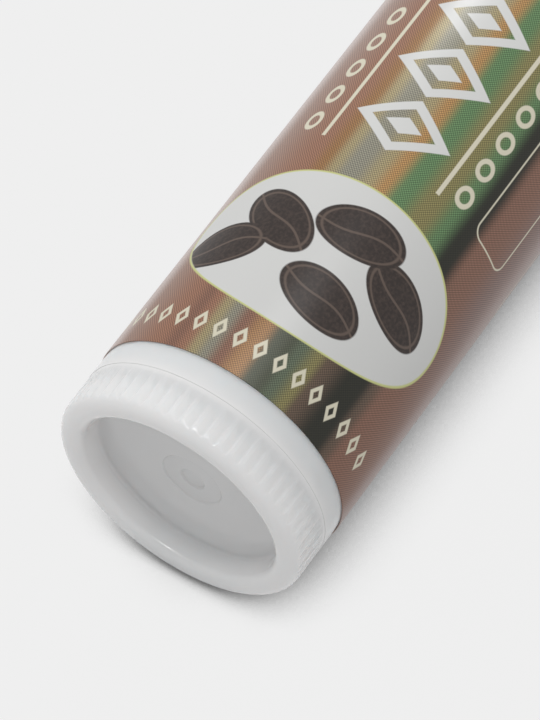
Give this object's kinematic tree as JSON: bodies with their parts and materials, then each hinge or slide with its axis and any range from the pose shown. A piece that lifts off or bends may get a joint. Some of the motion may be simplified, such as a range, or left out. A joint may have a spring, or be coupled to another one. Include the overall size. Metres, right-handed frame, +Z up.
{
  "type": "lip balm stick",
  "caption": "Slim round twist-up balm stick lying on its side: fluted wheel, barrel, threaded carrier, balm, pull-off cap and a wrap label.",
  "frame": {"origin": "on the supporting surface, under the middle of the stick's length, with the stick lying on its side", "axes": "+X along the stick from the twist wheel to the cap, +Z up"},
  "size_m": [0.0676, 0.016, 0.016],
  "materials": {
    "wheel_plastic": "translucent white moulded polypropylene, satin",
    "body_plastic": "white moulded polypropylene, satin gloss",
    "carrier_plastic": "white moulded polypropylene",
    "balm_wax": "cast wax balm, soft sheen",
    "label_foil": "brown holographic film with a fine dot mesh, clear gloss"
  },
  "bodies": {
    "barrel": {"barrel": "body_plastic", "barrel_label": "label_foil"},
    "wheel": {"twist_wheel": "wheel_plastic"},
    "carrier": {"carrier": "carrier_plastic", "balm": "balm_wax"},
    "cap": {"cap": "body_plastic", "cap_label": "label_foil"}
  },
  "joints": [
    {"name": "wheel_turn", "type": "hinge", "parent": "barrel", "child": "wheel", "pos_m": [-0.03375, 0, 0.00798], "axis": [-1, 0, 0], "range_deg": [0, 3420]},
    {"name": "carrier_rise", "type": "slide", "parent": "barrel", "child": "carrier", "axis": [1, 0, 0], "range_m": [0, 0.038]},
    {"name": "cap_pull", "type": "slide", "parent": "carrier", "child": "cap", "axis": [1, 0, 0], "range_m": [0, 0.03]}
  ],
  "couplings": [
    {"joint": "wheel_turn", "follows": "carrier_rise", "rad_per_m": 1570.8}
  ]
}
